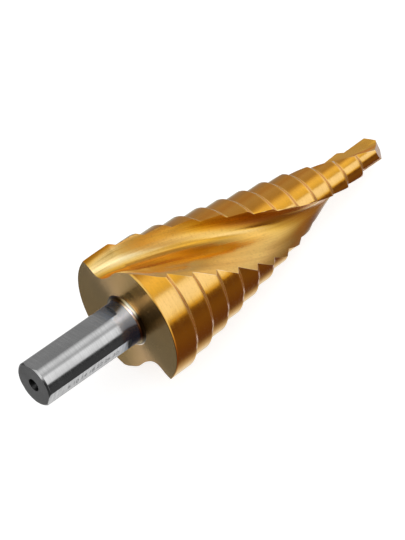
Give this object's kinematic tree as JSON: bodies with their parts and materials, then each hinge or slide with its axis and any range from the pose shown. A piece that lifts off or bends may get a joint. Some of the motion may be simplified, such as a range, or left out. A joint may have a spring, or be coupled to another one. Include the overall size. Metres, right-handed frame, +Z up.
{
  "type": "step drill bit",
  "caption": "Conical stepped drill with two helical flutes, a split point and a round shank with three flats, lying on its side.",
  "frame": {"origin": "centre of the bounding box at floor level", "axes": "+X from the shank towards the point along the drill's length, which drops 7.7 degrees to the floor, +Z up"},
  "size_m": [0.0984, 0.03, 0.029],
  "materials": {
    "step_drill_bit": "high speed steel, the cone and flutes with a gold titanium nitride coating, the shank bare and ground"
  },
  "bodies": {
    "root": {"step_drill_bit": "step_drill_bit"}
  },
  "joints": []
}
